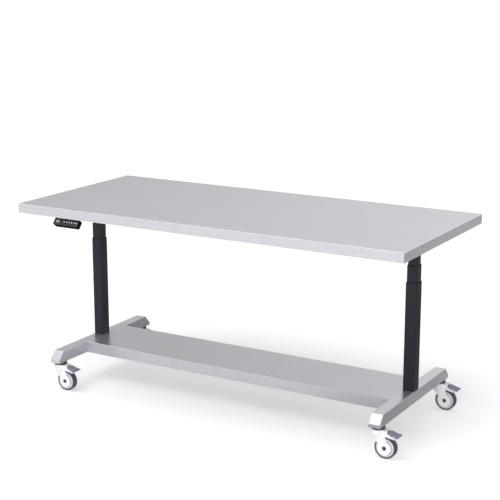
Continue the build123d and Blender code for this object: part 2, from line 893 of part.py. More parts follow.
def brake_pedal():
    start_z = fork_top - pedal_start_drop
    end_z = fork_top - pedal_end_drop
    slope = (end_z - start_z) / (pedal_end_x - pedal_start_x)
    lip_x = pedal_end_x - pedal_lip_length
    lip_z = start_z + slope * (lip_x - pedal_start_x)
    plate = side_face(
        [
            (pedal_start_x, start_z),
            (lip_x, lip_z),
            (pedal_end_x, end_z + pedal_lip_rise),
            (pedal_end_x, end_z + pedal_lip_rise - pedal_thickness),
            (lip_x, lip_z - pedal_thickness),
            (pedal_start_x, start_z - pedal_thickness),
        ]
    )
    halves = [
        (pedal_start_x, pedal_start_width / 2),
        (pedal_flare_x, pedal_flare_width / 2),
        (pedal_end_x, pedal_end_width / 2),
    ]
    plan = [(x, y, 0) for x, y in halves] + [(x, -y, 0) for x, y in reversed(halves)]
    trim = make_face(Polyline(*plan, close=True))
    trim = fillet(trim.vertices().sort_by(Axis.X)[-2:], pedal_corner)
    pedal = slab_y(plate, pedal_end_width) & extrude(trim, fork_top)
    pivot_z = fork_top - pedal_pivot_drop
    lever = side_face(
        [
            (pedal_pivot_x, pivot_z + pedal_lever_radius),
            (pedal_start_x + pedal_thickness, start_z - pedal_thickness / 2),
            (shoe_end_x, start_z + slope * (shoe_end_x - pedal_start_x) - pedal_thickness / 2),
            (shoe_end_x, wheel_z + wheel_radius + shoe_rise),
            (shoe_start_x, wheel_z + wheel_radius + shoe_rise),
            (shoe_start_x, pivot_z - pedal_lever_radius),
            (pedal_pivot_x, pivot_z - pedal_lever_radius),
        ]
    )
    pedal += slab_y(lever, pedal_lever_width)
    pedal += rod_y(pedal_pivot_x, around(0, pedal_lever_width), pivot_z, pedal_lever_radius)
    return pedal + rod_y(pedal_pivot_x, around(0, pedal_pin_length), pivot_z, pedal_pin_radius)


def at_caster(place, piece):
    x, y = caster_places[place]
    return Pos(x, y, 0) * piece


def parts():
    """Every node's name with its solids."""
    nodes = {
        "table_top_pan": [table_top_pan()],
        "top_core": [top_core()],
        "end_brackets": [end_bracket(side) for side in sides.values()],
        "support_rails": [support_rail(row) for row in (-1, 1)],
        "top_screws": top_screws(),
        "lower_shelf": [lower_shelf()],
        "shelf_stiffeners": shelf_stiffeners(),
        "base_screws": base_screws(),
        "outer_glides": outer_glides(),
        "lift_nut_tubes": lift_nut_tubes(),
        "gearmotors": gearmotors(),
        "control_box": [control_box()],
        "power_inlet": [power_inlet()],
        "handset_housing": [handset_housing()],
        "handset_window": [handset_window()],
        "handset_lead": [handset_lead()],
        "motor_leads": motor_leads(),
        "cable_clips": cable_clips(),
        "caster_collars": [at_caster(place, caster_collar()) for place in caster_places],
        "caster_stems": [at_caster(place, caster_stem()) for place in caster_places],
    }
    for number in range(button_count):
        nodes[f"handset_button_{number + 1}"] = [handset_button(number)]
    for name, side in sides.items():
        nodes[f"foot_arm_{name}"] = [foot_arm(side)]
        nodes[f"outer_tube_{name}"] = [outer_tube(side)]
        nodes[f"middle_tube_{name}"] = [middle_tube(side)]
        nodes[f"middle_glides_{name}"] = middle_glides(side)
        nodes[f"inner_tube_{name}"] = [inner_tube(side)]
        nodes[f"hollow_screw_{name}"] = [hollow_screw(side)]
        nodes[f"drive_spindle_{name}"] = [drive_spindle(side)]
    caster_pieces = {
        "fork_housing": fork_housing(),
        "wheel_axle": wheel_axle(),
        "wheel_rim": wheel_rim(),
        "wheel_tread": wheel_tread(),
        "brake_pedal": brake_pedal(),
    }
    for place in caster_places:
        for name, piece in caster_pieces.items():
            nodes[f"{name}_{place}"] = [at_caster(place, piece)]
    return nodes


def solids_of(pieces):
    """One flat list of the solids in a list of pieces."""
    return [solid for piece in pieces for solid in piece.solids()]


os.makedirs("parts", exist_ok=True)
for name, pieces in parts().items():
    solids = solids_of(pieces)
    shape = solids[0] if len(solids) == 1 else Compound(children=solids)
    export_step(shape, os.path.join("parts", f"{name}.step"))
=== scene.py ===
import json
import math

import bmesh
import bpy
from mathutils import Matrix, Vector


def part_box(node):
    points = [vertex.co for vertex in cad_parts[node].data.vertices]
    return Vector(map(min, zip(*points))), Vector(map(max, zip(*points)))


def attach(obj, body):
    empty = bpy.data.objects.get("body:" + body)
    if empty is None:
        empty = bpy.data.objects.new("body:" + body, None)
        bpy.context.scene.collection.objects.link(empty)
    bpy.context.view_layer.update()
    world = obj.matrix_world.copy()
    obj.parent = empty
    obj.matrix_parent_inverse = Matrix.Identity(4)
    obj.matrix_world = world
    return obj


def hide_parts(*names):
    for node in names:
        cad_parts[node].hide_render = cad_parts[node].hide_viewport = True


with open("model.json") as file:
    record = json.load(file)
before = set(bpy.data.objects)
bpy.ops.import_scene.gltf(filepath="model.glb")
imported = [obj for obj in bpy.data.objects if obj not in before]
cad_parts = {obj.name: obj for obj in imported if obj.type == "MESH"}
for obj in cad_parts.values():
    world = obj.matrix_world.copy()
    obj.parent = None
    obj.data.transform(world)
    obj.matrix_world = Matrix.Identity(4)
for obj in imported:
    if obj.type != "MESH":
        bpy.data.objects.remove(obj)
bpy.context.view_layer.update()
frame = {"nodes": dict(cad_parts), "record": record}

# Camera
image_size = 500
focal_length_pixels = 1276.5
sensor_width = 36.0
view_azimuth = math.radians(30.307)
view_elevation = math.radians(13.447)
view_distance = 5.50075
view_target = Vector((0.021345, 0.0, 0.676494))
clip_distance = 300.0

# Casters, about the swivel axis with the wheel trailing towards +X
foot_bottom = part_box("foot_arm_right")[0].z
collars_low, collars_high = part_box("caster_collars")
collar_radius = 0.028
caster_x = collars_high.x - collar_radius
caster_y = collars_high.y - collar_radius
caster_places = {
    "front_left": Vector((-caster_x, -caster_y, 0)),
    "front_right": Vector((caster_x, -caster_y, 0)),
    "rear_left": Vector((-caster_x, caster_y, 0)),
    "rear_right": Vector((caster_x, caster_y, 0)),
}
wheel_low, wheel_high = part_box("wheel_tread_front_right")
wheel_radius = (wheel_high.x - wheel_low.x) / 2
wheel_centre = Vector(((wheel_high.x + wheel_low.x) / 2 - caster_x, 0, wheel_radius))

# Steps round each turned form, and the voxel size and smoothing passes of each moulding
tread_steps, rim_steps, collar_steps, bead_steps, cap_steps = 180, 144, 120, 96, 48
fork_voxel, fork_smoothing = 0.0008, 6
pedal_voxel, pedal_smoothing = 0.00055, 3

# Feet and columns
sides = ("left", "right")
slope_run = 0.032
nose_height = 0.014
foot_edge_radius = 0.0011
ring_height = 0.0016
ring_seat = 0.0006
ring_gap = 0.0002
ring_edge = 0.0004
ring_outer_corner = 0.003
ring_inner_corner = 0.0028

# Handset, on the plane of its face
handset_low, handset_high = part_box("handset_housing")
window_low, window_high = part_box("handset_window")
handset_lean = math.radians(40)
handset_face_height = 0.036
handset_row_rise = 0.016
handset_depth = 0.026
handset_taper = 0.002
cover_depth = 0.0026
window_thickness = 0.0012
neck_width = 0.070
neck_height = 0.020
neck_corner = 0.0016
neck_edge = 0.0008
neck_overlap = 0.002

# Pads on the handset's face: width, height, corner and height above the face
lens_sizes = (
    (0.0270, 0.0150, 0.0014, -0.0012),
    (0.0270, 0.0150, 0.0014, -0.0002),
    (0.0264, 0.0144, 0.0012, 0.0),
)
key_top = 0.0009
key_sizes = (
    (0.0094, 0.0130, 0.0014, -0.0012),
    (0.0094, 0.0130, 0.0014, 0.0004),
    (0.0090, 0.0126, 0.0014, key_top - 0.0001),
    (0.0082, 0.0118, 0.0012, key_top),
    (0.0060, 0.0096, 0.0010, key_top - 0.00005),
)

# Keys and their signs
key_count = 6
key_pitch = 0.0133
key_first = -0.0095
sign_low = key_top - 0.0001
sign_high = key_top + 0.00012
sign_reach = 0.0030
sign_half_stroke = 0.00065
sign_overrun = 0.0002
arrow_base = -0.0020
circle_bore = 0.0018
arrow_ways = (-1, 1)
digit_strokes = (
    ((-0.35, 0.6), (0.05, 1.0), (0.05, -1.0)),
    ((-0.55, 0.65), (-0.3, 0.95), (0.25, 0.98), (0.55, 0.65), (0.5, 0.25), (-0.6, -0.95), (0.62, -0.95)),
    (
        (-0.5, 0.8), (-0.1, 1.0), (0.4, 0.85), (0.5, 0.45), (0.1, 0.08),
        (0.5, -0.3), (0.5, -0.7), (0.1, -1.0), (-0.55, -0.8),
    ),
)

# Digits in the window: the lit segments of each and its place beside the middle
window_digits = (("abcdefg", -0.0050), ("acdefg", 0.0050))
digit_width = 0.0058
digit_height = 0.0098
digit_stroke = 0.0016
digit_slant = 0.12
digit_low = 0.00002
digit_high = 0.00008

# Pieces of the frame whose edges are eased, and by how much
eased_nodes = (
    "control_box", "end_brackets", "support_rails", "gearmotors", "power_inlet", "shelf_stiffeners",
)
edge_break = 0.0005
edge_weld = 0.00001

# Steel finish: hairlines per metre across the grain, and how much longer they are along it
fine_hairlines = 1100.0
broad_hairlines = 170.0
broad_share = 0.6
hairline_length = 110.0

# Steel faces: where end and front faces start by their direction, wiped patches and the grain
end_face_start, end_face_end = 0.55, 0.6
front_start, front_end = 0.8, 0.95
wiped_scale = 5.0
wiped_smoother, wiped_rougher = 0.015, 0.02
grain_turn = 0.25
tangent_spread = (0.02, 0.02, 0.005)

# Coatings: wear per metre, what it takes from or adds to the roughness, and the relief
wear_scale = 35.0
wear_smoother, wear_rougher = 0.05, 0.06
coat_relief = 0.4

# Floor: how brightly it glows by distance, to stay even, and more on the right, painted light that
# lightens the shade there; and its share in reflections
floor_radius = 80.0
floor_colour = (0.8, 0.8, 0.82, 1)
floor_middle = (-0.4, 0.1, 0)
near_floor_lift, far_floor_lift = 0.38, 0.62
near_floor, far_floor = 0.6, 3.4
right_floor_lift = 0.13
right_floor_start, right_floor_end = 0.82, 1.12
floor_share = 0.86
floor_share_way = (0.8, 0.45, 0)
floor_share_start, floor_share_end = -2.6, 0.8

# Backdrop: its even light and its share in reflections, across and upward
ambient_strength = 0.52
left_share, right_share = 0.39, 1.25
left_reach, right_reach = -0.75, -0.15
level_share, overhead_share = 1.0, 0.62
level_reach, overhead_reach = 0.35, 0.8

# Level cards that only reflections show, painted reflections: the low dim ones darken what the steel
# reflects and the high bright ones paint highlights on its slopes and edges; span in X, span in Y, height
# and strength
reflection_cards = (
    ((0.36, 1.35), (-1.1, 0.25), 0.002, 0.3),
    ((1.05, 2.3), (0.35, 2.3), 0.003, 0.15),
    ((-0.75, -0.2), (0.42, 1.1), 0.002, 0.15),
    ((-4.8, -0.3), (-3.2, -1.7), 3.9, 1.15),
    ((-1.7, -0.2), (-3.1, -1.75), 3.85, 2.2),
    ((-4.6, 0.3), (-1.7, 0.3), 3.8, 2.8),
)


# Node helpers
def new_material(name):
    """A material with its node tree and its Principled shader."""
    material = bpy.data.materials.new(name)
    material.use_nodes = True
    return material, material.node_tree, material.node_tree.nodes["Principled BSDF"]


def surface_points(tree, stretch):
    """The piece's own coordinates in metres, multiplied along each axis."""
    place = tree.nodes.new("ShaderNodeTexCoord")
    mapping = tree.nodes.new("ShaderNodeMapping")
    mapping.inputs["Scale"].default_value = stretch
    tree.links.new(place.outputs["Object"], mapping.inputs["Vector"])
    return mapping.outputs["Vector"]


def noise(tree, vector, scale, detail, roughness=0.55):
    """Noise of a given frequency over a set of points."""
    texture = tree.nodes.new("ShaderNodeTexNoise")
    texture.inputs["Scale"].default_value = scale
    texture.inputs["Detail"].default_value = detail
    texture.inputs["Roughness"].default_value = roughness
    tree.links.new(vector, texture.inputs["Vector"])
    return texture.outputs["Fac"]


def value_range(tree, factor, low, high, start=0.3, end=0.7):
    """Maps a pattern to a range of values."""
    mapped = tree.nodes.new("ShaderNodeMapRange")
    mapped.inputs["From Min"].default_value = start
    mapped.inputs["From Max"].default_value = end
    mapped.inputs["To Min"].default_value = low
    mapped.inputs["To Max"].default_value = high
    tree.links.new(factor, mapped.inputs["Value"])
    return mapped.outputs["Result"]


def colour_range(tree, factor, low, high, start=0.3, end=0.7):
    """Maps a pattern to a range between two colours."""
    ramp = tree.nodes.new("ShaderNodeValToRGB")
    ramp.color_ramp.elements[0].position = start
    ramp.color_ramp.elements[1].position = end
    ramp.color_ramp.elements[0].color = (*low, 1)
    ramp.color_ramp.elements[1].color = (*high, 1)
    tree.links.new(factor, ramp.inputs["Fac"])
    return ramp.outputs["Color"]


def mixed_value(tree, factor, first, second):
    """One pattern faded into another by a third, or by a fixed share."""
    blend = tree.nodes.new("ShaderNodeMix")
    if isinstance(factor, float):
        blend.inputs["Factor"].default_value = factor
    else:
        tree.links.new(factor, blend.inputs["Factor"])
    tree.links.new(first, blend.inputs["A"])
    tree.links.new(second, blend.inputs["B"])
    return blend.outputs["Result"]


def bumped(tree, shader, height, distance, strength):
    """Gives the surface the relief of a pattern, its depth in metres."""
    bump = tree.nodes.new("ShaderNodeBump")
    bump.inputs["Strength"].default_value = strength
    bump.inputs["Distance"].default_value = distance
    tree.links.new(height, bump.inputs["Height"])
    tree.links.new(bump.outputs["Normal"], shader.inputs["Normal"])


def math_node(tree, operation, first, second=0.0):
    """The result of an operation on outputs or numbers."""
    made = tree.nodes.new("ShaderNodeMath")
    made.operation = operation
    for socket, value in zip(made.inputs, (first, second)):
        if isinstance(value, (int, float)):
            socket.default_value = value
        else:
            tree.links.new(value, socket)
    return made.outputs["Value"]


def along(tree, output, direction):
    """How far each point or ray lies along a direction."""
    product = tree.nodes.new("ShaderNodeVectorMath")
    product.operation = "DOT_PRODUCT"
    product.inputs[1].default_value = direction
    tree.links.new(output, product.inputs[0])
    return product.outputs["Value"]


def facing(tree, axis):
    """How squarely the surface looks along an axis, either way."""
    direction = [0.0, 0.0, 0.0]
    direction[axis] = 1.0
    place = tree.nodes.new("ShaderNodeTexCoord")
    return math_node(tree, "ABSOLUTE", along(tree, place.outputs["Normal"], direction))


def scaled(colour, factor):
    """A colour made lighter or darker."""
    return tuple(channel * factor for channel in colour)


# Materials
def hairlines(tree, grain, across_grain, detail):
    """Fine scratches along one axis, or across it on the faces that look along that axis."""
    along_grain, cross_grain = across_grain / hairline_length, (grain + 1) % 2
    patterns = []
    for axis in (grain, cross_grain):
        stretch = [across_grain] * 3
        stretch[axis] = along_grain
        points = surface_points(tree, stretch)
        patterns.append(noise(tree, points, 1.0, detail=detail, roughness=0.6))
    end_face = value_range(tree, facing(tree, grain), 0.0, 1.0, end_face_start, end_face_end)
    return mixed_value(tree, end_face, *patterns)


def brushed_steel(
    name, grain, anisotropy, metallic, colour, roughness, contrast, hairline_spread, front_rise=0.0
):
    """Satin stainless steel: polished and matt hairlines side by side, along one axis."""
    material, tree, shader = new_material(name)
    fine = hairlines(tree, grain, fine_hairlines, 3.0)
    broad = hairlines(tree, grain, broad_hairlines, 4.0)
    lines = mixed_value(tree, broad_share, fine, broad)
    cloud = noise(tree, surface_points(tree, (1, 1, 1)), wiped_scale, detail=3.0)
    shade = colour_range(tree, lines, scaled(colour, 1 - contrast), scaled(colour, 1 + contrast))
    tree.links.new(shade, shader.inputs["Base Color"])
    hairline = value_range(tree, lines, -hairline_spread, hairline_spread, 0.4, 0.6)
    wiped = value_range(tree, cloud, roughness - wiped_smoother, roughness + wiped_rougher)
    rough = math_node(tree, "ADD", hairline, wiped)
    if front_rise:
        front = value_range(tree, facing(tree, 1), 0.0, front_rise, front_start, front_end)
        rough = math_node(tree, "ADD", rough, front)
    tree.links.new(rough, shader.inputs["Roughness"])
    shader.inputs["Metallic"].default_value = metallic
    shader.inputs["Anisotropic"].default_value = anisotropy
    shader.inputs["Anisotropic Rotation"].default_value = grain_turn
    run = tree.nodes.new("ShaderNodeCombineXYZ")
    for axis, amount in enumerate(tangent_spread):
        run.inputs[axis].default_value = 1.0 if axis == grain else amount
    tree.links.new(run.outputs["Vector"], shader.inputs["Tangent"])
    return material


def coated(
    name, colour, roughness, grain=900.0, depth=0.00008, metallic=0.0, contrast=0.12, gloss=0.5
):
    """Paint, plastic or rubber with a fine surface texture and slight wear."""
    material, tree, shader = new_material(name)
    points = surface_points(tree, (1, 1, 1))
    fine = noise(tree, points, grain, detail=2.0)
    cloud = noise(tree, points, wear_scale, detail=5.0)
    shade = colour_range(tree, cloud, scaled(colour, 1 - contrast), scaled(colour, 1 + contrast))
    tree.links.new(shade, shader.inputs["Base Color"])
    rough = value_range(tree, cloud, roughness - wear_smoother, roughness + wear_rougher)
    tree.links.new(rough, shader.inputs["Roughness"])
    shader.inputs["Metallic"].default_value = metallic
    shader.inputs["Specular IOR Level"].default_value = gloss
    bumped(tree, shader, fine, depth, coat_relief)
    return material


def lit(material, colour, strength):
    """Makes a material glow."""
    shader = material.node_tree.nodes["Principled BSDF"]
    shader.inputs["Emission Color"].default_value = (*colour, 1)
    shader.inputs["Emission Strength"].default_value = strength
    return material


steel_table = brushed_steel(
    "steel_brushed_along_table", grain=0, anisotropy=0.3, metallic=1.0, colour=(0.665, 0.67, 0.705),
    roughness=0.38, contrast=0.055, hairline_spread=0.05,
)
# The shelf and the feet are the same steel as the worktop, given a slightly darker colour as painted shade
shaded_shelf_steel = brushed_steel(
    "steel_brushed_along_shelf_shaded", grain=0, anisotropy=0.5, metallic=0.8, colour=(0.643, 0.652, 0.695),
    roughness=0.30, contrast=0.03, hairline_spread=0.004, front_rise=0.17,
)
shaded_foot_steel = brushed_steel(
    "steel_brushed_along_foot_shaded", grain=1, anisotropy=0.5, metallic=0.75, colour=(0.635, 0.64, 0.675),
    roughness=0.29, contrast=0.13, hairline_spread=0.004,
)
materials = {
    "stainless": steel_table,
    "core_board": coated("laminated_board", (0.42, 0.31, 0.20), 0.7, grain=300.0, depth=0.0002),
    "frame_paint": coated("frame_powder_coat", (0.03, 0.03, 0.035), 0.45),
    "column_paint": coated("column_powder_coat", (0.017, 0.017, 0.026), 0.40, gloss=0.24),
    "plated_steel": coated("zinc_plating", (0.62, 0.62, 0.60), 0.32, metallic=1.0),
    "dark_steel": coated("blackened_steel", (0.085, 0.087, 0.10), 0.4, metallic=0.3),
    "motor_metal": coated("motor_casting", (0.45, 0.45, 0.46), 0.45, metallic=0.8),
    "glide_plastic": coated("glide_acetal", (0.72, 0.72, 0.68), 0.4),
    "black_plastic": coated("black_moulding", (0.005, 0.005, 0.006), 0.5, grain=1800.0, gloss=0.06),
    # The handset's back and neck: its dark plastic painted near black and without gloss, painted shade
    # where no light reaches from below
    "shaded_shell_plastic": coated("shaded_shell_moulding", (0.006, 0.006, 0.008), 0.6, grain=1800.0, gloss=0.02),
    "cover_plastic": coated("cover_moulding", (0.030, 0.030, 0.040), 0.45, grain=1800.0, gloss=0.3),
    "inlet_plastic": coated("inlet_moulding", (0.015, 0.015, 0.016), 0.3),
    "display_window": coated("display_lens", (0.012, 0.013, 0.016), 0.08, contrast=0.05),
    "button_plastic": coated("key_moulding", (0.030, 0.030, 0.037), 0.45, gloss=0.3),
    "lead_jacket": coated("lead_jacket", (0.025, 0.025, 0.026), 0.5),
    "white_plastic": coated(
        "white_nylon", (0.95, 0.95, 0.945), 0.28, grain=1400.0, depth=0.00005, contrast=0.015
    ),
    "rim_plastic": coated("rim_nylon", (0.40, 0.46, 0.58), 0.35, contrast=0.04),
    "tread_rubber": coated("tread_rubber", (0.076, 0.080, 0.120), 0.6),
    "collar_plastic": coated("collar_moulding", (0.055, 0.058, 0.076), 0.45),
    "grey_plastic": coated("grey_moulding", (0.235, 0.245, 0.33), 0.45),
}
# The keys' printed signs also glow, painted light that brightens the print
glowing_sign_paint = lit(coated("glowing_sign_paint", (0.86, 0.86, 0.88), 0.5, contrast=0.04), (1.0, 1.0, 1.0), 0.7)
lit_digits = lit(coated("lit_digits", (0.75, 0.77, 0.80), 0.4, contrast=0.02), (0.86, 0.92, 1.0), 0.5)


def ease_edges(piece):
    """Breaks the sharp edges of a machined or moulded piece."""
    weld = piece.modifiers.new("weld", "WELD")
    weld.merge_threshold = edge_weld
    bevel = piece.modifiers.new("edges", "BEVEL")
    bevel.width = edge_break
    bevel.segments = 2
    bevel.limit_method = "ANGLE"
    bevel.angle_limit = math.radians(50)
    normals = piece.modifiers.new("normals", "WEIGHTED_NORMAL")
    normals.keep_sharp = True


def dress_nodes():
    """Gives every carried-over node the material of its finish."""
    finish_of = {part["node"]: part["material_slot"] for part in frame["record"]["subparts"]}
    for name, piece in frame["nodes"].items():
        material = materials[finish_of[name]]
        # The feet and the shelf take the steel copies painted darker as shade
        if name.startswith("foot_arm"):
            material = shaded_foot_steel
        if name.endswith("shelf"):
            material = shaded_shelf_steel
        for slot in piece.material_slots:
            slot.material = material
        if name in eased_nodes:
            ease_edges(piece)


# Mesh helpers
def around(steps):
    """The angles of evenly spaced steps round a circle."""
    return [2 * math.pi * number / steps for number in range(steps)]


def rounded(outline, radius, steps=4):
    """A closed flat outline with each corner turned into an arc."""
    points = []
    for index, corner in enumerate(outline):
        point = Vector(corner)
        before = (Vector(outline[index - 1]) - point).normalized()
        after = (Vector(outline[(index + 1) % len(outline)]) - point).normalized()
        half = before.angle(after) / 2
        centre = point + (before + after).normalized() * radius / math.sin(half)
        first = point + before * radius / math.tan(half) - centre
        last = point + after * radius / math.tan(half) - centre
        for step in range(steps + 1):
            points.append(centre + first.lerp(last, step / steps).normalized() * radius)
    return points


def rectangle(width, height, radius, steps=5):
    """A rounded rectangle about its centre."""
    quarters = ((-1, -1), (1, -1), (1, 1), (-1, 1))
    corners = [(side_x * width / 2, side_y * height / 2) for side_x, side_y in quarters]
    return rounded(corners, radius, steps)


def bridged(shape, loops, closed):
    """Faces between each loop of points and the next."""
    made = [[shape.verts.new(point) for point in loop] for loop in loops]
    pairs = list(zip(made, made[1:]))
    if closed:
        pairs.append((made[-1], made[0]))
    for first, second in pairs:
        for index in range(len(first)):
            following = (index + 1) % len(first)
            shape.faces.new((first[index], first[following], second[following], second[index]))
    return made


def lofted(loops, shape=None):
    """A closed skin over loops of points, with flat ends."""
    shape = shape or bmesh.new()
    made = bridged(shape, loops, closed=False)
    shape.faces.new(reversed(made[0]))
    shape.faces.new(made[-1])
    return shape


def turned(profile, centre, axis, steps):
    """A ring turned about an axis from a closed profile of radius and place along it."""
    shape = bmesh.new()
    loops = []
    for turn in around(steps):
        loop = []
        for radius, place in profile:
            across, up = radius * math.cos(turn), radius * math.sin(turn)
            point = (across, place, up) if axis == "y" else (across, up, place)
            loop.append(centre + Vector(point))
        loops.append(loop)
    bridged(shape, loops, closed=True)
    return shape


def mesh_of(name, shape, *surfaces, angle=35):
    """A shaded mesh from a built shape."""
    mesh = bpy.data.meshes.new(name)
    bmesh.ops.recalc_face_normals(shape, faces=shape.faces)
    shape.to_mesh(mesh)
    shape.free()
    for surface in surfaces:
        mesh.materials.append(surface)
    mesh.shade_smooth()
    mesh.set_sharp_from_angle(angle=math.radians(angle))
    return mesh


def place_piece(name, mesh, body, replaced=(), place=(0, 0, 0)):
    """Puts a mesh in the scene as a piece that rides on a body."""
    piece = bpy.data.objects.new(name, mesh)
    piece.location = place
    bpy.context.scene.collection.objects.link(piece)
    normals = piece.modifiers.new("normals", "WEIGHTED_NORMAL")
    normals.keep_sharp = True
    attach(piece, body)
    if replaced:
        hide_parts(*replaced)
    return piece


def moulded(name, shape, surface, voxel, smoothing):
    """The skin of overlapping forms fused into one moulding with soft edges."""
    source = bpy.data.objects.new(name, mesh_of(name, shape, surface))
    bpy.context.scene.collection.objects.link(source)
    remesh = source.modifiers.new("remesh", "REMESH")
    remesh.mode = "VOXEL"
    remesh.voxel_size = voxel
    smooth = source.modifiers.new("smooth", "SMOOTH")
    smooth.factor = 0.5
    smooth.iterations = smoothing
    shaped = source.evaluated_get(bpy.context.evaluated_depsgraph_get())
    mesh = bpy.data.meshes.new_from_object(shaped)
    bpy.data.objects.remove(source)
    mesh.shade_smooth()
    return mesh


def node_shape(node, origin):
    """A node's own form, moved to be about an origin."""
    shape = bmesh.new()
    shape.from_mesh(frame["nodes"][node].data)
    bmesh.ops.remove_doubles(shape, verts=shape.verts, dist=0.000005)
    bmesh.ops.translate(shape, verts=shape.verts, vec=-origin)
    return shape


# Casters
def wheel_tread():
    """The rubber tread, with soft shoulders and two fine moulding lines."""
    half_width, bore = 0.014, 0.0394
    bore_corner, bore_steps = 0.0012, 3
    shoulder, shoulder_steps = 0.0038, 8
    line_place, line_width, line_depth = 0.0092, 0.0005, 0.0004
    outline = [
        (bore, -half_width), (wheel_radius, -half_width), (wheel_radius, half_width), (bore, half_width),
    ]
    bore_points = rounded(outline, bore_corner, bore_steps)
    shoulder_points = rounded(outline, shoulder, shoulder_steps)
    in_bore, in_shoulder = bore_steps + 1, shoulder_steps + 1
    lines = []
    for side in (-1, 1):
        for offset, depth in ((-1, 0), (-0.5, 1), (0.5, 1), (1, 0)):
            lines.append((wheel_radius - depth * line_depth, side * line_place + offset * line_width))
    profile = bore_points[:in_bore] + shoulder_points[in_shoulder:2 * in_shoulder] + lines
    profile += shoulder_points[2 * in_shoulder:3 * in_shoulder] + bore_points[-in_bore:]
    shape = turned(profile, wheel_centre, "y", tread_steps)
    return mesh_of("wheel_tread", shape, materials["tread_rubber"], angle=50)


def wheel_rim():
    """The rim: a bluish outer band, a recess in the same bluish colour as painted shade along the edge of
    the fork's disc, a white lip, a web and a hub.
    """
    recess_start, recess_end, band_start = 0.0285, 0.0322, 0.0356
    half_profile = [
        (0.0042, 0.0148), (0.0120, 0.0148), (0.0130, 0.0138), (0.0130, 0.0070), (0.0145, 0.0055),
        (0.0290, 0.0055), (0.0300, 0.0065), (0.0305, 0.0105), (0.0312, 0.0118), (0.0322, 0.0121),
        (0.0350, 0.0116), (0.0355, 0.0108), (0.0361, 0.0108), (0.0366, 0.0122), (0.0372, 0.0125),
        (0.0386, 0.0125), (0.0393, 0.0118),
    ]
    profile = half_profile + [(radius, -place) for radius, place in reversed(half_profile)]
    shape = turned(profile, wheel_centre, "y", rim_steps)
    for face in shape.faces:
        offset = face.calc_center_median() - wheel_centre
        radius = math.hypot(offset.x, offset.z)
        # The recess takes the bluish colour as painted shade along the disc's edge
        white = radius < recess_start or recess_end < radius < band_start
        face.material_index = 1 if white else 0
    return mesh_of("wheel_rim", shape, materials["rim_plastic"], materials["white_plastic"], angle=50)


def caster_collar():
    """The swivel collar under the foot, with a fine joint line."""
    bore, groove = 0.0075, 0.0275
    top, bottom = foot_bottom, collars_low.z
    profile = [
        (bore, top), (0.0262, top), (0.0272, top - 0.0004), (collar_radius, top - 0.0012),
        (collar_radius, top - 0.0040), (groove, top - 0.0044),
        (groove, top - 0.0050), (collar_radius, top - 0.0054),
        (collar_radius, bottom + 0.0022), (0.0272, bottom + 0.0008), (0.0255, bottom), (bore, bottom),
    ]
    shape = turned(profile, Vector(), "z", collar_steps)
    return mesh_of("caster_collar", shape, materials["collar_plastic"])


def fork_housing():
    """The white moulded fork: hood, legs, a raised ring round each side's disc and two pin caps."""
    shape = node_shape("fork_housing_front_right", caster_places["front_right"])
    half_width, bead_radius, bead_thickness = 0.020, 0.0278, 0.0009
    cap_radius, cap_seat, cap_rise, cap_edge = 0.0048, 0.001, 0.0011, 0.0008
    axis_gap = 0.0001
    pin = Vector((0.040, 0, 0.1061))
    for side in (-1, 1):
        face = side * half_width
        bead = []
        for turn in around(10):
            out = bead_radius + bead_thickness * math.cos(turn)
            bead.append((out, face + bead_thickness * math.sin(turn)))
        cap = [
            (axis_gap, face - side * cap_seat), (cap_radius, face - side * cap_seat),
            (cap_radius, face + side * 0.0002), (cap_radius - cap_edge, face + side * 0.0009),
            (axis_gap, face + side * cap_rise),
        ]
        extras = (turned(bead, wheel_centre, "y", bead_steps), turned(cap, pin, "y", cap_steps))
        for extra in extras:
            holder = bpy.data.meshes.new("extra")
            extra.to_mesh(holder)
            extra.free()
            shape.from_mesh(holder)
            bpy.data.meshes.remove(holder)
    return moulded("fork_housing", shape, materials["white_plastic"], fork_voxel, fork_smoothing)


def brake_pedal():
    """The grey pedal with raised ribs across its tread."""
    shape = node_shape("brake_pedal_front_right", caster_places["front_right"])
    rib_count, first_rib, rib_pitch = 7, 0.0065, 0.0050
    rib_half_length, rib_growth, rib_tip = 0.0165, 0.0004, 0.0008
    rib_outline = [(-0.0011, -0.0020), (0.0011, -0.0020), (0.0008, 0.0011), (-0.0008, 0.0011)]
    tread_start = Vector((0.050, 0, 0.1121))
    slope = math.atan2(-0.014, 0.043)
    run = Vector((math.cos(slope), 0, math.sin(slope)))
    rise = Vector((-math.sin(slope), 0, math.cos(slope)))
    section = rounded(rib_outline, 0.0005, 2)
    for number in range(rib_count):
        middle = tread_start + run * (first_rib + rib_pitch * number)
        reach = rib_half_length + rib_growth * number
        loops = []
        for place, size in ((-reach - rib_tip, 0.5), (-reach, 1), (reach, 1), (reach + rib_tip, 0.5)):
            across = Vector((0, place, 0))
            loops.append([middle + run * x * size + rise * z * size + across for x, z in section])
        lofted(loops, shape)
    return moulded("brake_pedal", shape, materials["grey_plastic"], pedal_voxel, pedal_smoothing)


def add_casters():
    """Four casters: tread, rim, fork, pedal and collar of each."""
    tread, rim, collar = wheel_tread(), wheel_rim(), caster_collar()
    fork, pedal = fork_housing(), brake_pedal()
    for corner, place in caster_places.items():
        wheel, swivel, lever = "wheel_" + corner, "caster_" + corner, "pedal_" + corner
        place_piece("tread_" + corner, tread, wheel, ["wheel_tread_" + corner], place)
        place_piece("rim_" + corner, rim, wheel, ["wheel_rim_" + corner], place)
        place_piece("fork_" + corner, fork, swivel, ["fork_housing_" + corner], place)
        replaced = ["brake_pedal_" + corner]
        place_piece("pedal_ribbed_" + corner, pedal, lever, replaced, place)
        place_piece("collar_" + corner, collar, "base", ["caster_collars"], place)


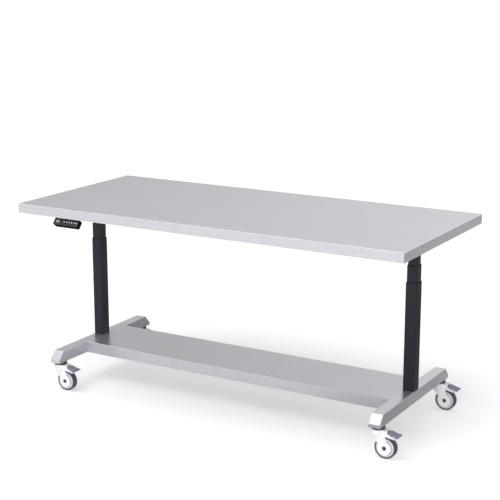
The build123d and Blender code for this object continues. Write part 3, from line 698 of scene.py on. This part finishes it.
# Feet and columns
def add_feet():
    """Square tube with sloped end plates, all edges slightly eased."""
    for side in sides:
        low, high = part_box("foot_arm_" + side)
        outline = [
            (low.y, low.z), (high.y, low.z), (high.y, low.z + nose_height), (high.y - slope_run, high.z),
            (low.y + slope_run, high.z), (low.y, low.z + nose_height),
        ]
        shape = lofted([[Vector((x, y, z)) for y, z in outline] for x in (low.x, high.x)])
        bmesh.ops.bevel(
            shape, geom=shape.edges[:], offset=foot_edge_radius, segments=3, profile=0.5, affect="EDGES"
        )
        mesh = mesh_of("foot_" + side, shape, shaded_foot_steel)
        place_piece("foot_tube_" + side, mesh, "base", ["foot_arm_" + side])


def tube_ring(centre_x, outside, inside, low, high, name):
    """A square collar that seals the mouth of a tube."""
    sizes = [
        (outside, low), (outside, high - ring_edge), (outside - 2 * ring_edge, high),
        (inside + 2 * ring_edge, high), (inside, high - ring_edge), (inside, low),
    ]
    loops = []
    for size, height in sizes:
        corner = ring_outer_corner if size > (outside + inside) / 2 else ring_inner_corner
        loops.append([Vector((centre_x + x, y, height)) for x, y in rectangle(size, size, corner)])
    shape = bmesh.new()
    bridged(shape, loops, closed=True)
    return mesh_of(name, shape, materials["black_plastic"])


def add_tube_rings():
    """Dark wiper rings where one column tube comes out of the next."""
    for side in sides:
        for outer, inner, body in (("outer", "middle", "base"), ("middle", "inner", "middle_" + side)):
            outer_low, outer_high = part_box(outer + "_tube_" + side)
            inner_low, inner_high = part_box(inner + "_tube_" + side)
            centre_x = (outer_low.x + outer_high.x) / 2
            outside = outer_high.x - outer_low.x - 2 * ring_gap
            inside = inner_high.x - inner_low.x + 2 * ring_gap
            low, high = outer_high.z - ring_seat, outer_high.z + ring_height
            name = outer + "_wiper_" + side
            place_piece(name, tube_ring(centre_x, outside, inside, low, high, name), body)


# Handset
face_right = Vector((1, 0, 0))
face_up = Vector((0, math.sin(handset_lean), math.cos(handset_lean)))
face_out = Vector((0, -math.cos(handset_lean), math.sin(handset_lean)))
window_up = (window_low.y - handset_low.y) / math.sin(handset_lean)
face_origin = Vector(
    (
        (handset_low.x + handset_high.x) / 2,
        handset_low.y,
        window_low.z - window_up * math.cos(handset_lean) + window_thickness * math.sin(handset_lean),
    )
)


def on_face(right, up, out):
    """A point in space from its place on the handset's face."""
    return face_origin + face_right * right + face_up * up + face_out * out


def face_loops(centre, sizes):
    """Loops of a rounded pad on the face: (width, height, corner, height above the face)."""
    loops = []
    for width, height, corner, out in sizes:
        flat = rectangle(width, height, corner)
        loops.append([on_face(centre[0] + x, centre[1] + y, out) for x, y in flat])
    return loops


def raise_outline(shape, centre, flat, low, high):
    """Adds a flat outline about a centre of the face to a shape, from one height to another."""
    lofted([[on_face(centre[0] + x, centre[1] + y, out) for x, y in flat] for out in (low, high)], shape)


def face_depth(point):
    """How deep a point lies behind the handset's face."""
    return -(point - face_origin).dot(face_out)


def handset_case():
    """The housing: chamfered front, a joint line round its sides and a tapered back."""
    width = handset_high.x - handset_low.x
    middle = (0, handset_face_height / 2)

    def section(depth, inset, corner):
        """One loop of the housing, a depth behind the face and drawn in at its edges."""
        narrow = 2 * handset_taper * depth / handset_depth
        return (width - narrow - 2 * inset, handset_face_height - 2 * inset, corner, -depth)

    sizes = [
        section(0.0006, 0.0040, 0.0022), section(0.0006, 0.0036, 0.0026), section(0.0, 0.0033, 0.0028),
        section(0.0, 0.0028, 0.0032), section(0.0004, 0.0018, 0.0038), section(0.0018, 0.0003, 0.0048),
        section(0.0026, 0.0, 0.0050), section(0.0096, 0.0, 0.0048), section(0.0098, 0.0004, 0.0044),
        section(0.0104, 0.0004, 0.0044), section(0.0106, 0.0, 0.0048), section(0.0244, 0.0, 0.0042),
        section(0.0256, 0.0006, 0.0040), section(0.0260, 0.0018, 0.0034),
    ]
    shape = lofted(face_loops(middle, sizes))
    # Behind the cover depth the case is painted near black, painted shade on its back and underside
    for face in shape.faces:
        face.material_index = 1 if face_depth(face.calc_center_median()) < cover_depth else 0
    return mesh_of("handset_case", shape, materials["shaded_shell_plastic"], materials["cover_plastic"], angle=40)


def handset_neck():
    """The arm that carries the handset under the worktop's edge."""
    centre = Vector((face_origin.x, 0, handset_high.z - neck_height / 2))
    face_back_y = handset_low.y + handset_face_height * math.sin(handset_lean)
    ends = (
        (face_back_y + neck_overlap, 0), (handset_high.y - neck_edge, 0), (handset_high.y, neck_edge),
    )
    loops = []
    for y, inset in ends:
        flat = rectangle(neck_width - 2 * inset, neck_height - 2 * inset, neck_corner, 3)
        loops.append([centre + Vector((x, y, z)) for x, z in flat])
    # The neck takes the same near-black colour, painted shade
    return mesh_of("handset_neck", lofted(loops), materials["shaded_shell_plastic"])


def segment_digit(shape, segments, centre):
    """Adds one digit of up to seven segments to a shape."""
    half_width, half_height = digit_width / 2, digit_height / 2
    bars = {
        "a": (0, half_height, "flat"), "g": (0, 0, "flat"), "d": (0, -half_height, "flat"),
        "f": (-half_width, half_height / 2, "tall"), "b": (half_width, half_height / 2, "tall"),
        "e": (-half_width, -half_height / 2, "tall"), "c": (half_width, -half_height / 2, "tall"),
    }
    point = digit_stroke / 2
    for name in segments:
        x, y, way = bars[name]
        reach = (half_width if way == "flat" else half_height / 2) - digit_stroke * 0.35
        outline = [
            (-reach, 0), (-reach + point, -point), (reach - point, -point),
            (reach, 0), (reach - point, point), (-reach + point, point),
        ]
        if way == "tall":
            outline = [(-b, a) for a, b in outline]
        flat = [(x + a + (y + b) * digit_slant, y + b) for a, b in outline]
        raise_outline(shape, centre, flat, digit_low, digit_high)


def key_centre(number):
    """The middle of a key on the handset's face."""
    return (key_first + number * key_pitch, handset_row_rise)


def key_sign(number):
    """The raised sign on a key: arrows down and up, plain numbers and a circle."""
    centre = key_centre(number)
    shape = bmesh.new()
    if number < len(arrow_ways):
        arrow = [(-sign_reach, arrow_base), (sign_reach, arrow_base), (0, sign_reach)]
        flat = [(x, y * arrow_ways[number]) for x, y in arrow]
        raise_outline(shape, centre, flat, sign_low, sign_high)
    elif number < key_count - 1:
        strokes = digit_strokes[number - len(arrow_ways)]
        for start, end in zip(strokes, strokes[1:]):
            a, b = Vector(start) * sign_reach, Vector(end) * sign_reach
            run = (b - a).normalized()
            across = Vector((-run.y, run.x)) * sign_half_stroke
            over = run * sign_overrun
            flat = [a - across - over, b - across + over, b + across + over, a + across - over]
            raise_outline(shape, centre, flat, sign_low, sign_high)
    else:
        corners = (
            (sign_reach, sign_low), (sign_reach, sign_high),
            (circle_bore, sign_high), (circle_bore, sign_low),
        )
        loops = []
        for size, out in corners:
            loop = [(centre[0] + size * math.cos(t), centre[1] + size * math.sin(t)) for t in around(32)]
            loops.append([on_face(x, y, out) for x, y in loop])
        bridged(shape, loops, closed=True)
    return shape


def add_handset():
    """The case with its neck, window, digits and keys."""
    place_piece("handset_case", handset_case(), "top", ["handset_housing"])
    place_piece("handset_neck", handset_neck(), "top")
    window_x = (window_low.x + window_high.x) / 2 - face_origin.x
    lens_shape = lofted(face_loops((window_x, handset_row_rise), lens_sizes))
    lens = mesh_of("handset_lens", lens_shape, materials["display_window"])
    place_piece("handset_lens", lens, "top", ["handset_window"])
    digits = bmesh.new()
    for segments, offset in window_digits:
        segment_digit(digits, segments, (window_x + offset, handset_row_rise))
    place_piece("handset_digits", mesh_of("handset_digits", digits, lit_digits), "top")
    for number in range(key_count):
        label = str(number + 1)
        body = "button_" + label
        cap = lofted(face_loops(key_centre(number), key_sizes))
        key = mesh_of("key_" + label, cap, materials["button_plastic"])
        place_piece("key_cap_" + label, key, body, ["handset_" + body])
        # The sign's print glows, painted light
        sign = mesh_of("sign_" + label, key_sign(number), glowing_sign_paint)
        place_piece("key_sign_" + label, sign, body)


dress_nodes()
add_casters()
add_feet()
add_tube_rings()
add_handset()


# Camera and stage
def add_camera():
    """The camera, level with the horizon and aimed at the target."""
    cos_elevation = math.cos(view_elevation)
    back = Vector(
        (
            math.sin(view_azimuth) * cos_elevation,
            -math.cos(view_azimuth) * cos_elevation,
            math.sin(view_elevation),
        )
    )
    data = bpy.data.cameras.new("camera")
    data.sensor_width = sensor_width
    data.lens = focal_length_pixels / image_size * sensor_width
    data.clip_end = clip_distance
    camera = bpy.data.objects.new("camera", data)
    camera.location = view_target + back * view_distance
    camera.rotation_mode = "QUATERNION"
    camera.rotation_quaternion = (-back).to_track_quat("-Z", "Y")
    bpy.context.scene.collection.objects.link(camera)
    bpy.context.scene.camera = camera


def backdrop_rays(tree, glossy_share):
    """1 for camera and transmission rays, and a share for glossy rays."""
    path = tree.nodes.new("ShaderNodeLightPath")
    camera, transmission = path.outputs["Is Camera Ray"], path.outputs["Is Transmission Ray"]
    seen = math_node(tree, "MAXIMUM", camera, transmission)
    glossy = math_node(tree, "MULTIPLY", path.outputs["Is Glossy Ray"], glossy_share)
    return math_node(tree, "MAXIMUM", seen, glossy)


def flat_face(name, corners, material):
    """One flat face with a material."""
    mesh = bpy.data.meshes.new(name)
    mesh.from_pydata(corners, [], [list(range(len(corners)))])
    mesh.materials.append(material)
    surface = bpy.data.objects.new(name, mesh)
    bpy.context.scene.collection.objects.link(surface)
    return surface


def add_floor():
    """A pale floor that glows, more away from the middle, so that it is white where nothing shades it; it
    glows more on the right, painted light that lightens the shade there; dimmer in reflections at the back
    right.
    """
    corners = [(floor_radius * math.cos(t), floor_radius * math.sin(t), 0) for t in around(96)]
    material, tree, shader = new_material("floor")
    floor = flat_face("floor", corners, material)
    shader.inputs["Base Color"].default_value = floor_colour
    shader.inputs["Roughness"].default_value = 0.9
    shader.inputs["Specular IOR Level"].default_value = 0.0
    shader.inputs["Emission Color"].default_value = (1.0, 1.0, 1.0, 1)
    points = surface_points(tree, (1, 1, 1))
    length = tree.nodes.new("ShaderNodeVectorMath")
    length.operation = "DISTANCE"
    length.inputs[1].default_value = floor_middle
    tree.links.new(points, length.inputs[0])
    away = value_range(
        tree, length.outputs["Value"], near_floor_lift, far_floor_lift, near_floor, far_floor
    )
    # Painted light: extra glow on the right that lightens the floor's shade there
    rightward = along(tree, points, (1, 0, 0))
    right = value_range(tree, rightward, 0.0, right_floor_lift, right_floor_start, right_floor_end)
    backward = along(tree, points, floor_share_way)
    share = value_range(tree, backward, floor_share, 0.0, floor_share_start, floor_share_end)
    lift = math_node(tree, "ADD", away, right)
    strength = math_node(tree, "MULTIPLY", lift, backdrop_rays(tree, share))
    tree.links.new(strength, shader.inputs["Emission Strength"])


def add_world():
    """A white backdrop with an even light, dimmer in reflections to the left and overhead."""
    world = bpy.data.worlds.new("studio")
    bpy.context.scene.world = world
    world.use_nodes = True
    tree = world.node_tree
    background = tree.nodes["Background"]
    background.inputs["Color"].default_value = (1, 1, 1, 1)
    direction = tree.nodes.new("ShaderNodeTexCoord").outputs["Generated"]
    rightward = along(tree, direction, (1, 0, 0))
    across = value_range(tree, rightward, left_share, right_share, left_reach, right_reach)
    skyward = along(tree, direction, (0, 0, 1))
    upward = value_range(tree, skyward, level_share, overhead_share, level_reach, overhead_reach)
    share = math_node(tree, "MULTIPLY", across, upward)
    strength = math_node(tree, "MAXIMUM", backdrop_rays(tree, share), ambient_strength)
    tree.links.new(strength, background.inputs["Strength"])


def add_reflection_card(x_span, y_span, height, strength):
    """A level card, dark or bright, that only reflections show: a painted reflection, either a dark patch
    or a highlight.
    """
    corners = [(x_span[i], y_span[j], height) for i, j in ((0, 0), (1, 0), (1, 1), (0, 1))]
    material, _, shader = new_material("reflection_card")
    reflection_card = flat_face("reflection_card", corners, material)
    for ray in ("camera", "diffuse", "transmission", "volume_scatter", "shadow"):
        setattr(reflection_card, "visible_" + ray, False)
    shader.inputs["Base Color"].default_value = (0, 0, 0, 1)
    shader.inputs["Specular IOR Level"].default_value = 0.0
    shader.inputs["Emission Color"].default_value = (1, 1, 1, 1)
    shader.inputs["Emission Strength"].default_value = strength


def add_lamp(name, place, aim, size, power):
    """A square soft lamp that reflections don't show."""
    data = bpy.data.lights.new(name, "AREA")
    data.shape = "SQUARE"
    data.size = size
    data.energy = power
    lamp = bpy.data.objects.new(name, data)
    lamp.location = place
    lamp.rotation_mode = "QUATERNION"
    lamp.rotation_quaternion = (Vector(aim) - Vector(place)).to_track_quat("-Z", "Y")
    lamp.visible_glossy = False
    bpy.context.scene.collection.objects.link(lamp)


add_camera()
add_floor()
add_world()
# Painted reflections: dark patches and highlights that only the steel's reflections show
for reflection_card in reflection_cards:
    add_reflection_card(*reflection_card)
add_lamp("key", place=(-1.2, -1.1, 3.8), aim=(0, 0, 0.3), size=2.6, power=74.0)
add_lamp("fill", place=(1.7, -4.6, 1.3), aim=(0, 0, 0.4), size=2.0, power=98.0)
bpy.context.scene.view_settings.view_transform = "Standard"
